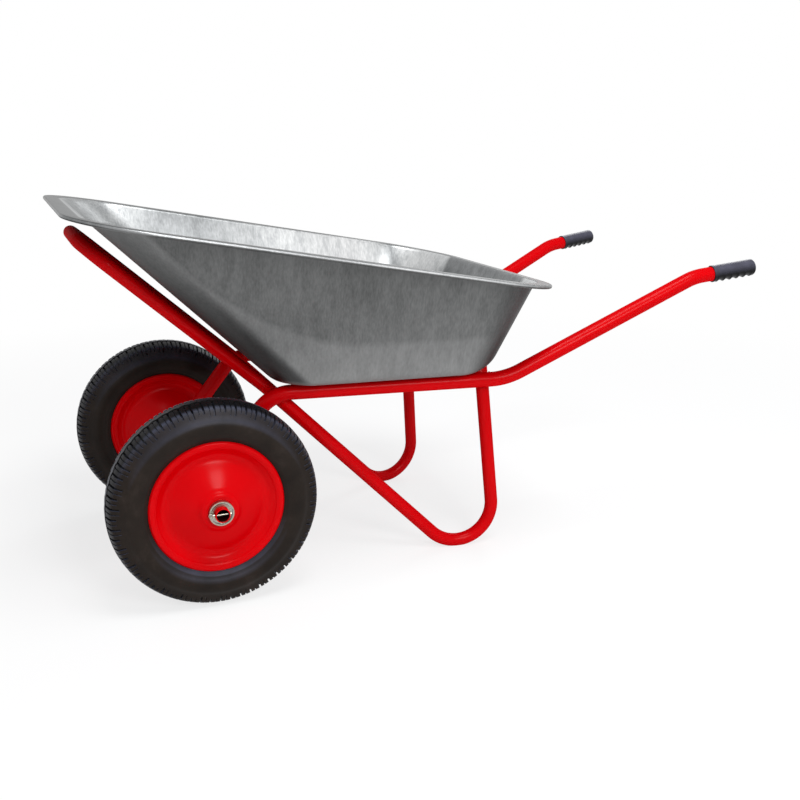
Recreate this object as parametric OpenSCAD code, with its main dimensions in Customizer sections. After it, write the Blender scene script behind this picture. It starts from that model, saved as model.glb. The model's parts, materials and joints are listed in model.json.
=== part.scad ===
// Two wheel garden barrow: galvanised tray on a bent tube frame, two pneumatic wheels on one axle.
// +X runs back to the grips, -Y is the operator's left, +Z is up. The ground is at z = 0.
// The origin is on the ground, midway between the nose of the tray and the tips of the grips.
// Side view sizes are measured along X from the axle.

/* [Wheels] */
// Diameter of the bead seats of a rim
seat_d = 203; // [196:1:210]
// Height of the rim flanges over the bead seats
flange_h = 13; // [11:0.5:15]
// Height of the tyre over the bead seats
tyre_h = 78.5; // [74:0.5:84]
// Width of the tyre over its sidewalls
tyre_w = 84; // [78:1:90]
// Thickness of the tyre's sidewall
tyre_wall = 5; // [4:0.5:6]
// Width over the rim flanges
rim_w = 66; // [62:1:70]
// Thickness of the rim and disc sheet
rim_sheet = 2; // [1.5:0.1:2.5]
// Distance between the middle planes of the wheels
track = 494; // [470:1:520]
// Length of the hub sleeve
hub_len = 126; // [116:1:134]
// Wall of the hub sleeve round its bearings
hub_wall = 2.5; // [2:0.1:4]
// Tread blocks round one shoulder
tread_blocks = 60; // [40:2:72]
// Depth of the tread
tread_depth = 6; // [4:0.5:7]

/* [Axle] */
// Outer diameter of the axle tube
axle_d = 25; // [20:0.5:28]
// Wall of the axle tube
axle_wall = 2; // [1.5:0.5:4]
// Height of a wheel bearing's section
bearing_h = 6; // [5.5:0.1:7]
// Width of a wheel bearing
bearing_w = 7; // [6:0.5:10]
// Depth of a bearing behind the end of the hub
bearing_sink = 4; // [3:0.5:6]
// Length of the spacer between a handle tube and the inner bearing of a wheel
spacer_len = 33.8; // [25:0.1:45]

/* [Frame] */
// Outer diameter of the handle tubes
handle_d = 28; // [25:0.5:32]
// Wall of the frame tubes
tube_wall = 1.5; // [1:0.1:2.5]
// Outer diameter of the leg tube
leg_d = 25; // [20:0.5:27]
// Angle by which each handle tube turns outwards
toe = 8.1; // [6:0.1:9]
// Height of the level part of the handle tubes
bed_z = 333.5; // [325:0.5:350]
// Place of the foot's lowest point behind the axle
foot_x = 483; // [470:1:490]
// Lean of the leg
leg_lean = 4.8; // [3:0.1:6]
// Angle by which each leg spreads outwards
leg_spread = 3; // [1:0.1:4]
// Rise of the diagonal in front of the foot
diagonal_slope = 44.6; // [43:0.1:47]
// Distance of the bend in front of the bed behind the diagonal's crossing
front_bend_lead = 6; // [2:1:12]
// Distance of the bend behind the bed from the leg's top
rear_bend_lead = 37; // [31:1:44]
// Run of the handle's slope between its two rear bends
slope_run = 376; // [340:1:420]
// Slope of the handle between its two rear bends
handle_slope = 25.2; // [20:0.1:30]
// Slope of the grip
grip_slope = 6.9; // [0:0.1:12]
// Length of the straight end behind the last bend, to the grip's tip
grip_run = 129; // [120:1:140]
// Distance of the nose bar behind the top of the tray's front wall
nose_set = 3; // [1:1:10]
// Distance of the nose bar under the tray's rim
nose_drop = 51.6; // [44:0.2:58]

/* [Tray] */
// Thickness of the tray's sheet
sheet = 1; // [0.8:0.1:2]
// Distance of the floor's front edge behind the diagonal's crossing
floor_front_lead = 13; // [12:0.5:20]
// Distance of the floor's back edge in front of the bend behind the bed
floor_back_lead = 23; // [15:1:33]
// Width of the floor outside a handle tube's middle at its front edge
floor_front_margin = 50; // [46:1:60]
// Width of the floor outside a handle tube's middle at its back edge
floor_back_margin = 42; // [40:1:50]
// Distance of the top of a side wall outside the floor's back corner
wall_flare = 42; // [30:1:55]
// Reach of the front wall ahead of the floor
front_wall_run = 314.5; // [302:0.5:325]
// Reach of the back wall behind the floor
back_wall_run = 83; // [75:1:100]
// Height of the rim over the floor, above the axle
tray_h = 276; // [262:1:290]
// Fall of the rim for each unit along X
rim_fall = 0.182; // [0.15:0.001:0.2]
// Width of the flange outside the walls, over its rolled edge
flange_w = 33; // [24:1:40]
// Diameter of the rolled edge
bead_d = 9; // [6:0.5:12]
// Rounding between floor and side walls
floor_round = 38; // [20:1:42]

/* [Grips] */
// Length of a grip
grip_len = 92; // [70:1:110]
// Wall of a grip
grip_wall = 2; // [1.5:0.5:6]

/* [Hidden] */
$fn = 48;

// Colours
paint_red = "#c8060f";
zinc = "#b9b4a8";
galvanised = "#8f9294";
tyre_black = "#24242a";
grip_black = "#2b2b2e";

// Length by which cuts run past what they cut
overrun = 1;
// Clearance of pieces that are pressed or welded together
seat_gap = 0.05;
// Clearance of pieces that turn on each other
run_gap = 0.3;
// Gap closed by the weld between the leg tube and a handle tube
weld_gap = 0.3;

// Thickness of a grip's closed end
grip_end = 4;

// Wheel and axle sizes that others follow
tyre_d = seat_d + 2 * tyre_h;
flange_d = seat_d + 2 * flange_h;
bearing_od = axle_d + 2 * bearing_h;
hub_d = bearing_od + 2 * hub_wall;
hub_stop = hub_len / 2;
bearing_out = hub_stop - bearing_sink;
axle_z = tyre_d / 2;

// Half distance between the handle tubes at the axle: each stands against the spacer of its wheel
strut_half = (handle_d / 2 + weld_gap) / cos(toe) + axle_d / 2 * tan(toe);
handle_half_w = track / 2 - bearing_out - spacer_len - strut_half;

grip_d = handle_d + 2 * grip_wall;

// Unit vector along v
function unit(v) = v / norm(v);

// Rigid placement at p with its z axis along d
function along(p, d) =
    let (z = unit(d), side = abs(z.x) < abs(z.y) ? [1, 0, 0] : [0, 1, 0],
        x = unit(cross(side, z)), y = cross(z, x))
    [[x.x, y.x, z.x, p.x], [x.y, y.y, z.y, p.y], [x.z, y.z, z.z, p.z], [0, 0, 0, 1]];

// Direction of a path after its point i
function heading(pts, i) = unit(pts[i + 1] - pts[i]);

// Turn of a path at its point i, in degrees
function turn(pts, i) = acos(min(1, heading(pts, i - 1) * heading(pts, i)));

// Straight length that the bend at point i takes from each side
function bend_reach(pts, radii, i) = radii[i - 1] * tan(turn(pts, i) / 2);

// Stations of the bend at point i, each a centre, a direction and a flattening
function bend_stations(pts, radii, i) =
    let (a = heading(pts, i - 1), b = heading(pts, i), n = unit(b - (a * b) * a), r = radii[i - 1],
        start = pts[i] - bend_reach(pts, radii, i) * a, steps = ceil(turn(pts, i) / bend_step))
    [for (k = [0 : steps]) let (t = turn(pts, i) * k / steps)
        [start + r * (sin(t) * a + (1 - cos(t)) * n), cos(t) * a + sin(t) * n, 0]];

// Stations of an end of length flat, round at its inner side and flattened at its tip
function end_stations(tip, dir, flat) =
    flat == 0 ? [[tip, dir, 0]] :
    [for (k = [0 : flat_steps]) let (s = k / flat_steps)
        [tip - (1 - s) * flat * dir, dir, s * s * (3 - 2 * s)]];

function flipped(list) = [for (k = [len(list) - 1 : -1 : 0]) list[k]];

// Stations of a whole path whose two ends are flattened over the length flat
function stations(pts, radii, flat) =
    let (n = len(pts) - 1)
    concat(
        [for (s = flipped(end_stations(pts[0], -heading(pts, 0), flat))) [s[0], -s[1], s[2]]],
        [for (i = [1 : n - 1]) each bend_stations(pts, radii, i)],
        end_stations(pts[n], heading(pts, n - 1), flat)
    );

// Side direction x carried along the stations without twist
function carried(st, x, k = 0) =
    k == len(st) ? [] : let (t = st[k][1], y = unit(x - (x * t) * t)) concat([y], carried(st, y, k + 1));

// Ring of points round a station: x is its side direction, d the tube's diameter and r the ring's radius
function ring(s, x, d, r) =
    let (y = cross(s[1], x), thin = 1 - flat_thin_share * s[2], broad = 1 + flat_broad_share * s[2],
        c = s[0] + x * d / 2 * (1 - thin))
    [for (j = [0 : tube_sides - 1]) let (a = 360 * j / tube_sides)
        c + r * (cos(a) * thin * x + sin(a) * broad * y)];

// Tube along a path, bent at its inner points and open at both ends
module bent_tube(pts, radii, d, wall, side, flat = 0) {
    st = stations(pts, radii, flat);
    sides = carried(st, side);
    n = len(st);
    m = tube_sides;
    outer = [for (k = [0 : n - 1]) each ring(st[k], sides[k], d, d / 2)];
    inner = [for (k = [0 : n - 1]) each ring(st[k], sides[k], d, d / 2 - wall)];
    // Start of ring k, with the inner rings counted back from the far end
    function at(k) = (k < n ? k : n + 2 * n - 1 - k) * m;
    polyhedron(
        points = concat(outer, inner),
        faces = [for (k = [0 : 2 * n - 1]) for (j = [0 : m - 1])
            let (a = at(k), b = at((k + 1) % (2 * n)), i = (j + 1) % m)
            each [[a + j, b + j, a + i], [a + i, b + j, b + i]]]
    );
}

// Line of points whose inner corners are rounded, each over at most the length reach to both sides
soft_steps = 4;
soft_share = 0.45;
function softened(line, reach) =
    [for (i = [0 : len(line) - 1]) each i == 0 || i == len(line) - 1 ? [line[i]] :
        let (a = line[i - 1] - line[i], b = line[i + 1] - line[i],
            r = min(reach, soft_share * norm(a), soft_share * norm(b)))
        [for (k = [0 : soft_steps]) let (s = k / soft_steps)
            line[i] + r * ((1 - s) * (1 - s) * unit(a) + s * s * unit(b))]];

// Ring of revolution about the Y axis from a profile of [radius, y]
module turned(profile) {
    rotate([-90, 0, 0]) rotate_extrude() polygon(profile);
}

// Everything below is drawn with the axle at x = 0 and then set on the part's origin
module on_origin() {
    translate([-mid_x, 0, 0]) children();
}

// Left pieces are drawn as they stand, right ones are mirrored
module on_side(side) {
    if (side < 0) children();
    else mirror([0, 1, 0]) children();
}

// Frame

// Sides of a tube's section, turn of a bend between two of its stations and steps of a flattened end
tube_sides = 24;
bend_step = 15;
flat_steps = 4;
// Part of the nut collar's height by which the leg's end stands over the handle tube
leg_over_share = 0.6;
// Shares by which a flattened tube end loses thickness and gains breadth
flat_thin_share = 0.5;
flat_broad_share = 0.15;
leg_flat_len = 30;

strut_bend_r = 75;
rear_bend_r = 140;
grip_bend_r = 110;
foot_bend_r = 71;
cross_bend_r = 120;
nose_bend_r = 62;

// Distance of a handle tube from the middle at place x
function handle_y(x) = handle_half_w + x * tan(toe);

// Point of the left handle at side view place x and height z
function handle_point(x, z) = [x, -handle_y(x), z];

// Outward direction of the left handle's plane, its bed's direction and the left leg's directions
handle_out = [-sin(toe), -cos(toe), 0];
handle_along = [cos(toe), -sin(toe), 0];
leg_up = [0, 0, cos(leg_spread)] - sin(leg_spread) * handle_out;
leg_out = cross(handle_along, leg_up);
leg_in = (handle_d + leg_d) / 2 + weld_gap;

// Sizes of a rivet nut, its collar under the tray and its bolt
bolt_d = 6;
nut_sleeve_d = 9;
nut_sleeve_len = 18;
nut_collar_d = 12;
nut_collar_h = 6;
bolt_len = 18;
bolt_head_d = 14;
bolt_head_h = 3.2;
bolt_head_edge = 1;
washer_d = 18;
washer_t = 1.5;

// Point of the left leg's plane: p.x along the bed from the axle, p.y up from the bed
function leg_point(p) = handle_point(0, bed_z) + p.x * handle_along - leg_in * handle_out + p.y * leg_up;

// The foot's bend touches the ground, and the leg and the diagonal leave it as tangents
ground_h = (leg_d / 2 - bed_z) / cos(leg_spread);
foot = [(foot_x - leg_point([0, ground_h]).x) / cos(toe), ground_h + foot_bend_r];
leg_touch = foot + foot_bend_r * [cos(leg_lean), sin(leg_lean)];
diagonal_touch = foot - foot_bend_r * [sin(diagonal_slope), cos(diagonal_slope)];
foot_turn = 180 + leg_lean - diagonal_slope;
foot_corner = leg_touch + foot_bend_r * tan(foot_turn / 2) * [sin(leg_lean), -cos(leg_lean)];
leg_top_h = handle_d / 2 + leg_over_share * nut_collar_h;
leg_top = leg_point([leg_touch.x - (leg_top_h - leg_touch.y) * tan(leg_lean), leg_top_h]);
cross_h = leg_d / 4;
crossing = leg_point([diagonal_touch.x - (cross_h - diagonal_touch.y) / tan(diagonal_slope), cross_h]);

front_bend_x = crossing.x + front_bend_lead;
rear_bend_x = leg_top.x + rear_bend_lead;
grip_bend_x = rear_bend_x + slope_run;
grip_tip_x = grip_bend_x + grip_run * cos(grip_slope) * cos(toe);
grip_bend_z = bed_z + slope_run / cos(toe) * tan(handle_slope);
grip_tip_z = grip_bend_z + grip_run * sin(grip_slope);

handle_path = [
    handle_point(0, axle_z),
    handle_point(front_bend_x, bed_z),
    handle_point(rear_bend_x, bed_z),
    handle_point(grip_bend_x, grip_bend_z),
    handle_point(grip_tip_x, grip_tip_z)
];
handle_radii = [strut_bend_r, rear_bend_r, grip_bend_r];
grip_dir = heading(handle_path, 3);

// Part of the axle's diameter at which the tube stops short of the axle's middle
saddle_share = 0.3;
// The tube runs from its saddle on the axle to the closed end of the grip
tube_path = [
    handle_path[0] + saddle_share * axle_d * heading(handle_path, 0),
    handle_path[1], handle_path[2], handle_path[3],
    handle_path[4] - grip_end * grip_dir
];

// Tray places that the frame follows
floor_z = bed_z + handle_d / 2 + nut_collar_h;
floor_front_x = crossing.x + floor_front_lead;
floor_back_x = rear_bend_x - floor_back_lead;
wall_front_x = floor_front_x - front_wall_run;
wall_back_x = floor_back_x + back_wall_run;
function rim_height(x) = floor_z + tray_h - rim_fall * x;

// Places of the tray's bolts along the handle tubes
bolt_inset = 72;
bolt_xs = [floor_front_x + bolt_inset, floor_back_x - bolt_inset];
bolt_places = [for (x = bolt_xs) for (s = [-1, 1]) [x, s * handle_y(x)]];

// Nose bar under the tray's front rim
nose_x = wall_front_x + nose_set;
nose_z = rim_height(nose_x) - nose_drop;

// Foremost place of the tray's rolled edge and rearmost place of a grip's rounded end
rim_tilt = atan(rim_fall);
tray_front_x = wall_front_x - (flange_w - bead_d / 2) * cos(rim_tilt)
    + (sheet - bead_d / 2) * sin(rim_tilt) - bead_d / 2;
grip_turn = acos(cos(grip_slope) * cos(toe));
grip_far_x = grip_tip_x + (grip_d / 2 - grip_end) * sin(grip_turn) + grip_end * (1 - cos(grip_turn));
mid_x = (tray_front_x + grip_far_x) / 2;

module handle(side) {
    color(paint_red) on_origin() on_side(side) difference() {
        bent_tube(tube_path, handle_radii, handle_d, tube_wall, handle_out);
        translate([0, 0, axle_z]) rotate([90, 0, 0])
            cylinder(h = 2 * track, d = axle_d + 2 * seat_gap, center = true);
        for (x = bolt_xs)
            translate([x, -handle_y(x), bed_z]) cylinder(h = handle_d, d = nut_sleeve_d + 2 * seat_gap);
    }
}

leg_side_path = [
    leg_top,
    leg_point(foot_corner),
    crossing,
    [nose_x, crossing.y, nose_z]
];
// The right side runs back along the mirrored points
leg_path = concat(leg_side_path, [for (p = flipped(leg_side_path)) [p.x, -p.y, p.z]]);
leg_side_radii = [foot_bend_r, cross_bend_r, nose_bend_r];
leg_radii = concat(leg_side_radii, flipped(leg_side_radii));

module leg_loop() {
    color(paint_red) on_origin() bent_tube(leg_path, leg_radii, leg_d, tube_wall, -leg_out, leg_flat_len);
}

// Finger hollows along the underside of a grip, with the plain length left at each end
finger_pitch = 14.6;
finger_edge = 0.4;
finger_depth_share = 0.65;
finger_plain = 7;
finger_depth = grip_wall * finger_depth_share;
finger_half = (finger_pitch - finger_edge) / 2;
finger_r = (finger_half * finger_half + finger_depth * finger_depth) / (2 * finger_depth);
finger_count = floor((grip_len - 2 * finger_plain) / finger_pitch);
finger_start = (grip_len - grip_end - (finger_count - 1) * finger_pitch) / 2;

// Sleeve with a closed, rounded end: drawn along z from its mouth, with x pointing down
module grip(side) {
    base = handle_path[4] - grip_len * grip_dir;
    tube_stop = handle_path[4] - grip_end * grip_dir;
    color(grip_black) on_origin() on_side(side) multmatrix(along(base, grip_dir)) difference() {
        rotate_extrude() polygon([
            [0, 0], [grip_d / 2, 0], [grip_d / 2, grip_len - grip_end],
            for (a = [0 : 30 : 90])
                [grip_d / 2 - grip_end + grip_end * cos(a), grip_len - grip_end + grip_end * sin(a)],
            [0, grip_len]
        ]);
        translate([0, 0, -overrun])
            cylinder(h = norm(tube_stop - base) + overrun, d = handle_d + 2 * seat_gap);
        for (k = [0 : finger_count - 1])
            translate([grip_d / 2 + finger_r - finger_depth, 0, finger_start + k * finger_pitch])
                rotate([90, 0, 0]) cylinder(h = 2 * grip_d, r = finger_r, center = true);
    }
}

// Axle and bearings

// Radial room between an axle washer and the bore of the hub
washer_room = 2;
washer_r = bearing_od / 2 - washer_room;
axle_washer_t = 2;
cotter_d = 3.2;
cotter_out = hub_stop + cotter_d;
axle_over = hub_stop + 3 * cotter_d;
axle_len = track + 2 * axle_over;

module axle() {
    color(paint_red) on_origin() translate([0, 0, axle_z]) rotate([90, 0, 0]) difference() {
        cylinder(h = axle_len, d = axle_d, center = true);
        cylinder(h = axle_len + 2 * overrun, d = axle_d - 2 * axle_wall, center = true);
        for (s = [-1, 1]) translate([0, 0, s * (track / 2 + cotter_out)]) rotate([0, 90, 0])
            cylinder(h = 2 * axle_d, d = cotter_d + 2 * seat_gap, center = true);
    }
}

// Ring on the axle from y0 to y1, measured outwards from the middle plane of the barrow
module axle_ring(outer_d, y0, y1) {
    for (s = [-1, 1]) translate([0, s * (y0 + y1) / 2, axle_z]) rotate([90, 0, 0]) difference() {
        cylinder(h = y1 - y0, d = outer_d, center = true);
        cylinder(h = y1 - y0 + 2 * overrun, d = axle_d + 2 * seat_gap, center = true);
    }
}

module axle_spacers() {
    color(zinc) on_origin()
        axle_ring(2 * washer_r, track / 2 - bearing_out - spacer_len, track / 2 - bearing_out);
}

module axle_washers() {
    color(zinc) on_origin()
        axle_ring(2 * washer_r, track / 2 + bearing_out, track / 2 + bearing_out + axle_washer_t);
}

module cotter_pins() {
    eye_r = cotter_d;
    reach = axle_d / 2 + cotter_d;
    color(zinc) on_origin() for (s = [-1, 1]) translate([0, s * (track / 2 + cotter_out), axle_z]) {
        translate([-reach, 0, 0]) rotate([0, 90, 0]) cylinder(h = 2 * reach, d = cotter_d);
        translate([-reach - eye_r, 0, 0]) rotate([90, 0, 0])
            rotate_extrude() translate([eye_r, 0]) circle(d = cotter_d / 2);
    }
}

ball_share = 0.533;
ball_d = bearing_h * ball_share;
ball_gap = 0.12;
ball_count = 10;
race_wall_share = 0.28;
race_r = (bearing_od + axle_d) / 4;
race_t = bearing_h * race_wall_share;

// Both bearings of one wheel, each drawn about its own middle
module at_bearings() {
    for (s = [-1, 1]) translate([0, -track / 2 + s * (bearing_out - bearing_w / 2), axle_z]) children();
}

module ball_groove() {
    groove_r = ball_d / 2 + ball_gap;
    turned([for (a = [0 : 15 : 345]) [race_r + groove_r * cos(a), groove_r * sin(a)]]);
}

module bearing_ring(inner_r, outer_r) {
    difference() {
        turned([
            [inner_r, -bearing_w / 2], [outer_r, -bearing_w / 2],
            [outer_r, bearing_w / 2], [inner_r, bearing_w / 2]
        ]);
        ball_groove();
    }
}

module bearing_inner_rings() {
    color(zinc) on_origin() for (side = [-1, 1]) on_side(side) at_bearings()
        bearing_ring(axle_d / 2 + seat_gap, axle_d / 2 + race_t);
}

module bearing_outer_rings(side) {
    color(zinc) on_origin() on_side(side) at_bearings()
        bearing_ring(bearing_od / 2 - race_t, bearing_od / 2 - seat_gap);
}

module bearing_balls(side) {
    color(zinc) on_origin() on_side(side) at_bearings()
        for (i = [0 : ball_count - 1]) rotate([0, i * 360 / ball_count, 0])
            translate([race_r, 0, 0]) sphere(d = ball_d);
}

// Wheels, each profile is [radius, distance from the wheel's middle plane]

module wheel_place(side) {
    on_origin() on_side(side) translate([0, -track / 2, axle_z]) children();
}

module hub(side) {
    bore_r = bearing_od / 2;
    shoulder_r = bore_r - race_t / 2;
    color(zinc) wheel_place(side) difference() {
        turned([
            [shoulder_r, -hub_stop], [hub_d / 2, -hub_stop], [hub_d / 2, hub_stop], [shoulder_r, hub_stop]
        ]);
        for (s = [-1, 1]) turned([
            [0, s * (bearing_out - bearing_w)], [bore_r, s * (bearing_out - bearing_w)],
            [bore_r, s * (hub_stop + overrun)], [0, s * (hub_stop + overrun)]
        ]);
    }
}

rim_half = rim_w / 2;
// Well of the barrel: its depth under the bead seats and its half width below and above
well_depth = 12;
well_r = seat_d / 2 - well_depth;
well_half = 11;
well_top_half = 15;
// Valve: its depth under the bead seats, sizes and place round the wheel
valve_depth = 7.5;
valve_r = seat_d / 2 - valve_depth;
valve_d = 8;
valve_room = 0.5;
valve_out = rim_half + valve_d;
valve_turn = 160;
cap_d = 10;
cap_len = 14;
cap_end = 2;

// Frame of the valve: z along the stem, which starts in the middle plane of the wheel
module at_valve() {
    rotate([0, valve_turn, 0]) translate([0, 0, valve_r]) rotate([-90, 0, 0]) children();
}

module valve_bore() {
    at_valve() cylinder(h = rim_w, d = valve_d + 2 * valve_room);
}

// Barrel with two flanges and a well, as a bent sheet
module rim(side) {
    lip = rim_sheet;
    outer = [
        [flange_d / 2, rim_half], [flange_d / 2, rim_half - lip], [seat_d / 2, rim_half - lip],
        [seat_d / 2, well_top_half], [well_r, well_half]
    ];
    inner = [
        [well_r - rim_sheet, well_half + rim_sheet / 2],
        [seat_d / 2 - rim_sheet, well_top_half + rim_sheet / 2],
        [seat_d / 2 - rim_sheet, rim_half - lip / 2], [seat_d / 2 - rim_sheet / 2, rim_half]
    ];
    n = len(outer) - 1;
    m = len(inner) - 1;
    color(paint_red) wheel_place(side) difference() {
        turned(concat(
            [for (i = [0 : n]) outer[i]], [for (i = [n : -1 : 0]) [outer[i].x, -outer[i].y]],
            [for (i = [m : -1 : 0]) [inner[i].x, -inner[i].y]], [for (i = [0 : m]) inner[i]]
        ));
        valve_bore();
    }
}

// Disc: depth of its step behind the flange, height of its boss and dish behind the hub's end, and radii
step_in = 12;
boss_in = 11;
dish_in = 19;
dish_set = 17.5;
boss_set = 12;
disc_round = 9;
skirt = 7;
disc_step = rim_half - step_in;
boss_out = hub_stop - boss_in;
dish_out = hub_stop - dish_in;
dish_r = seat_d / 2 - dish_set;
boss_r = hub_d / 2 + boss_set;

// Dished disc between the barrel and the hub
module disc_profile() {
    rim_r = seat_d / 2 - rim_sheet - seat_gap;
    bend = 4;
    top = [
        [rim_r, disc_step + skirt], [rim_r, disc_step + bend],
        [rim_r - bend, disc_step], [dish_r, disc_step],
        [boss_r + bend, dish_out], [boss_r - bend, boss_out], [hub_d / 2 + seat_gap, boss_out]
    ];
    // The sheet's thickness lies across the skirt and along the axle elsewhere
    over = [for (i = [0 : len(top) - 1]) top[i] + (i < 2 ? [-rim_sheet, 0] : [0, rim_sheet])];
    turned(concat(softened(top, disc_round), flipped(softened(over, disc_round))));
}

module disc_outer(side) {
    color(paint_red) wheel_place(side) mirror([0, 1, 0]) disc_profile();
}

module disc_inner(side) {
    color(paint_red) wheel_place(side) difference() {
        disc_profile();
        valve_bore();
    }
}

// Tyre section: half profile from the crown out to the bead
crown_round = 8;
bead_w = 9;
// Width of the slots between tread blocks, and their depth from the crown out, radially and sideways
slot_w = 3;
slot_in_shares = [[1, 0], [0.5, 0.5], [0.15, 0.4], [0, 0.15]];
shoulder_half_share = 0.76;
belly_share = 0.5;
section_h = (tyre_d - seat_d) / 2;
tyre_half = tyre_w / 2;
shoulder_half = tyre_half * shoulder_half_share;
bead_out = rim_half - rim_sheet - seat_gap;
belly_r = seat_d / 2 + section_h * belly_share;
shoulder_r = tyre_d / 2 - crown_round;
bead_r = seat_d / 2 + seat_gap;

// Groove round the crown: its distance from the middle plane, width and part of the tread's depth
groove_in = 6.4;
groove_w = 3.4;
groove_share = 0.75;
function crown_r(y) = tyre_d / 2 - crown_round / 4 * y / (shoulder_half / 2);
function tyre_crown(s) =
    let (a = groove_in, b = groove_in + groove_w, deep = tread_depth * groove_share)
    [[crown_r(a), s * a], [crown_r(a) - deep, s * a], [crown_r(b) - deep, s * b], [crown_r(b), s * b]];
function tyre_side(s) = [
    [crown_r(shoulder_half / 2), s * shoulder_half / 2],
    [shoulder_r, s * shoulder_half],
    [shoulder_r - 2 * crown_round, s * (tyre_half + shoulder_half) / 2],
    [belly_r + crown_round, s * tyre_half],
    [belly_r - crown_round, s * tyre_half],
    [flange_d / 2 + crown_round / 2, s * (bead_out + tyre_wall / 2)],
    [flange_d / 2, s * bead_out],
    [bead_r, s * bead_out]
];
function tyre_inner(s, gap) = [
    [tyre_d / 2 - tyre_wall - tread_depth - gap, 0],
    [shoulder_r - tyre_wall - tread_depth / 2 - gap, s * (shoulder_half - tyre_wall - gap)],
    [belly_r + crown_round, s * (tyre_half - tyre_wall - gap)],
    [belly_r - crown_round, s * (tyre_half - tyre_wall - gap)],
    [flange_d / 2, s * (bead_out - bead_w - gap)], [bead_r, s * (bead_out - bead_w - gap)]
];

// Slots between the tread blocks: a skin under the shoulder, cut into by a star of radial bars
module tread_slots(s) {
    skin = [for (i = [0 : 3]) tyre_side(s)[i]];
    intersection() {
        turned(concat(
            [for (i = [0 : 3]) skin[i] - tread_depth * [slot_in_shares[i].x, s * slot_in_shares[i].y]],
            [for (p = flipped(skin)) [p.x + tread_depth, p.y + s * tread_depth]]
        ));
        rotate([90, 0, 0]) linear_extrude(tyre_w, center = true) for (k = [0 : tread_blocks - 1])
            rotate([0, 0, 360 * k / tread_blocks]) translate([belly_r, -slot_w / 2])
                square([section_h, slot_w]);
    }
}

module tyre(side) {
    left = concat(tyre_crown(-1), tyre_side(-1), flipped(tyre_inner(-1, 0)));
    right = concat(tyre_crown(1), tyre_side(1), flipped(tyre_inner(1, 0)));
    color(tyre_black) wheel_place(side) difference() {
        turned(concat([[tyre_d / 2, 0]], right, [for (i = [len(left) - 2 : -1 : 0]) left[i]]));
        for (s = [-1, 1]) tread_slots(s);
    }
}

tube_skin = 2;
// Height of the air tube's floor over the bead seats
tube_lift = 3;
tube_floor_r = seat_d / 2 + tube_lift;

module inner_tube(side) {
    a = tyre_inner(1, run_gap);
    b = tyre_inner(-1, run_gap);
    n = len(a) - 2;
    c = tyre_inner(1, run_gap + tube_skin);
    d = tyre_inner(-1, run_gap + tube_skin);
    color(tyre_black) wheel_place(side) {
        difference() {
            turned(concat([for (i = [n : -1 : 1]) b[i]], [for (i = [0 : n]) a[i]],
                [[tube_floor_r, a[n + 1].y], [tube_floor_r, b[n + 1].y]]));
            turned(concat([for (i = [n : -1 : 1]) d[i]], [for (i = [0 : n]) c[i]],
                [[tube_floor_r + tube_skin, c[n + 1].y], [tube_floor_r + tube_skin, d[n + 1].y]]));
        }
        // Valve stem: down from the tube's floor, then out through the barrel and the inner disc
        at_valve() {
            cylinder(h = valve_out, d = valve_d);
            sphere(d = valve_d);
            rotate([90, 0, 0]) cylinder(h = tube_floor_r + tube_skin / 2 - valve_r, d = valve_d);
        }
    }
}

module valve_cap(side) {
    cap_in = valve_out + cap_end - cap_len;
    color(grip_black) wheel_place(side) at_valve() difference() {
        translate([0, 0, cap_in]) cylinder(h = cap_len, d = cap_d);
        translate([0, 0, cap_in - overrun])
            cylinder(h = cap_len - cap_end + overrun, d = valve_d + 2 * seat_gap);
    }
}

// Tray

arc_steps = 10;
side_steps = 5;
end_steps = 4;
round_steps = 5;
bead_steps = 6;
floor_front_round = 62;
floor_back_round = 70;
wall_front_round = 105;
wall_back_round = 120;
// Rounding between floor and the front and back walls
end_round = 70;

// Corner arc of a closed outline at point b, from the side of a to the side of c
function corner(a, b, c, r) =
    let (u = unit(a - b), v = unit(c - b), half = acos(u * v) / 2, m = b + unit(u + v) * r / sin(half),
        p = b + u * r / tan(half) - m, start = atan2(p.y, p.x), sweep = 180 - 2 * half)
    [for (k = [0 : arc_steps]) let (t = start + sweep * k / arc_steps) m + r * [cos(t), sin(t)]];

// Points strictly between p and q
function between(p, q, n) = [for (k = [1 : n - 1]) p + (q - p) * k / n];

// Outline of a tray level, counter-clockwise from above, starting at the front left corner
function level(fx, bx, fw, bw, fr, br) =
    let (p = [[fx, -fw], [bx, -bw], [bx, bw], [fx, fw]], r = [fr, br, br, fr],
        steps = [side_steps, end_steps, side_steps, end_steps],
        arcs = [for (i = [0 : 3]) corner(p[(i + 3) % 4], p[i], p[(i + 1) % 4], r[i])])
    [for (i = [0 : 3]) each concat(arcs[i], between(arcs[i][arc_steps], arcs[(i + 1) % 4][0], steps[i]))];

// Outward normal of an outline at point i
function outward(line, i) =
    let (n = len(line), t = unit(line[(i + 1) % n] - line[(i + n - 1) % n])) [t.y, -t.x];

floor_front_half_w = handle_y(floor_front_x) + floor_front_margin;
floor_back_half_w = handle_y(floor_back_x) + floor_back_margin;
wall_half_w = floor_back_half_w + wall_flare;
floor_line = level(floor_front_x, floor_back_x, floor_front_half_w, floor_back_half_w,
    floor_front_round, floor_back_round);
wall_line = level(wall_front_x, wall_back_x, wall_half_w, wall_half_w, wall_front_round, wall_back_round);

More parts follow.
